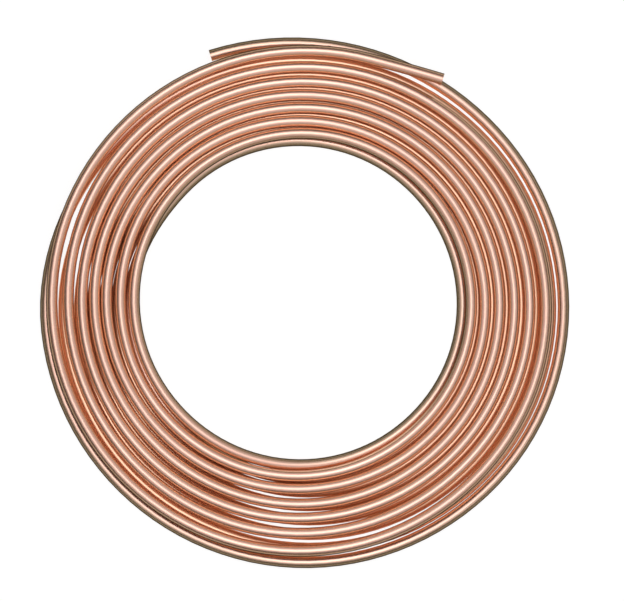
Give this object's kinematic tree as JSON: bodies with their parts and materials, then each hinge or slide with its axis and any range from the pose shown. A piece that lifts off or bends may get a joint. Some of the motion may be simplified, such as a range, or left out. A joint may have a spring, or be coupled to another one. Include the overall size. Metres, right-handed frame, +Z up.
{
  "type": "copper tube coil",
  "caption": "Soft copper tube wound flat in two layers round an open eye, with both loose ends on the outside, for water, gas or refrigerant lines.",
  "frame": {"origin": "centre of the coil's bounding box, on the level plane that the lower layer lies on", "axes": "+Z up along the coil's axis; +Y towards the side where both loose ends are; seen from above the tube runs clockwise from its lower end"},
  "size_m": [0.432, 0.4352, 0.0193],
  "materials": {
    "copper": "bright drawn copper with faint drawing lines and light tarnish"
  },
  "bodies": {
    "root": {"copper_tube": "copper"}
  },
  "joints": []
}
